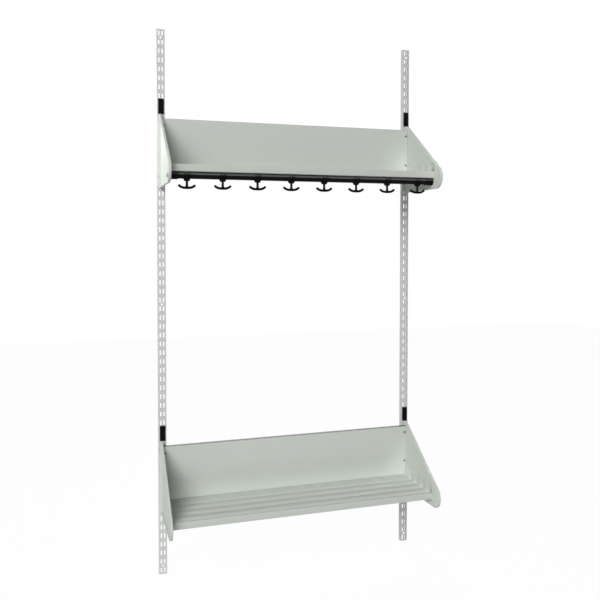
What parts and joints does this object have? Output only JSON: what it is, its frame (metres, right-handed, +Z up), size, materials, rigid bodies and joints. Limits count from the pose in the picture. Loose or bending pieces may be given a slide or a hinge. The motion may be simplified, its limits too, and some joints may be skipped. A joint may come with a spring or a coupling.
{
  "type": "childrens cloakroom unit",
  "caption": "Wall-hung cloakroom unit: slotted uprights carry a hat shelf with a rail of swivelling anchor hooks above, and a grooved shoe shelf near the floor.",
  "frame": {"origin": "on the wall plane, midway between the uprights, level with their lower ends", "axes": "+X across the unit to its right seen from the front, -Y into the room, +Z up"},
  "size_m": [0.999, 0.3, 1.98],
  "materials": {
    "upright": "light grey powder coat, satin",
    "sheet_grey": "pale grey-green powder coat, semi-gloss",
    "rail_black": "black powder coat, satin",
    "hook_black": "black coated steel",
    "plastic_black": "moulded black plastic",
    "zinc": "zinc-plated steel"
  },
  "bodies": {
    "frame": {"upright_left": "upright", "upright_right": "upright", "coat_rail": "rail_black", "rail_sockets": "plastic_black", "rail_bolts": "zinc", "rail_washers": "zinc", "hook_collars": "plastic_black", "panel_screws": "zinc", "hat_tray": "sheet_grey", "shoe_tray": "sheet_grey", "back_panel_upper": "sheet_grey", "back_panel_lower": "sheet_grey", "gable_upper_left": "sheet_grey", "hook_plate_upper_left": "sheet_grey", "locking_clip_upper_left": "plastic_black", "gable_upper_right": "sheet_grey", "hook_plate_upper_right": "sheet_grey", "locking_clip_upper_right": "plastic_black", "gable_lower_left": "sheet_grey", "hook_plate_lower_left": "sheet_grey", "locking_clip_lower_left": "plastic_black", "gable_lower_right": "sheet_grey", "hook_plate_lower_right": "sheet_grey", "locking_clip_lower_right": "plastic_black"},
    "hook_1": {"hook_1": "hook_black"},
    "hook_2": {"hook_2": "hook_black"},
    "hook_3": {"hook_3": "hook_black"},
    "hook_4": {"hook_4": "hook_black"},
    "hook_5": {"hook_5": "hook_black"},
    "hook_6": {"hook_6": "hook_black"},
    "hook_7": {"hook_7": "hook_black"},
    "hook_8": {"hook_8": "hook_black"}
  },
  "joints": [
    {"name": "hook_1_swivel", "type": "hinge", "parent": "frame", "child": "hook_1", "pos_m": [-0.42525, -0.2325, 1.4103], "axis": [0, 0, 1], "continuous": true},
    {"name": "hook_2_swivel", "type": "hinge", "parent": "frame", "child": "hook_2", "pos_m": [-0.30375, -0.2325, 1.4103], "axis": [0, 0, 1], "continuous": true},
    {"name": "hook_3_swivel", "type": "hinge", "parent": "frame", "child": "hook_3", "pos_m": [-0.18225, -0.2325, 1.4103], "axis": [0, 0, 1], "continuous": true},
    {"name": "hook_4_swivel", "type": "hinge", "parent": "frame", "child": "hook_4", "pos_m": [-0.06075, -0.2325, 1.4103], "axis": [0, 0, 1], "continuous": true},
    {"name": "hook_5_swivel", "type": "hinge", "parent": "frame", "child": "hook_5", "pos_m": [0.06075, -0.2325, 1.4103], "axis": [0, 0, 1], "continuous": true},
    {"name": "hook_6_swivel", "type": "hinge", "parent": "frame", "child": "hook_6", "pos_m": [0.18225, -0.2325, 1.4103], "axis": [0, 0, 1], "continuous": true},
    {"name": "hook_7_swivel", "type": "hinge", "parent": "frame", "child": "hook_7", "pos_m": [0.30375, -0.2325, 1.4103], "axis": [0, 0, 1], "continuous": true},
    {"name": "hook_8_swivel", "type": "hinge", "parent": "frame", "child": "hook_8", "pos_m": [0.42525, -0.2325, 1.4103], "axis": [0, 0, 1], "continuous": true}
  ]
}
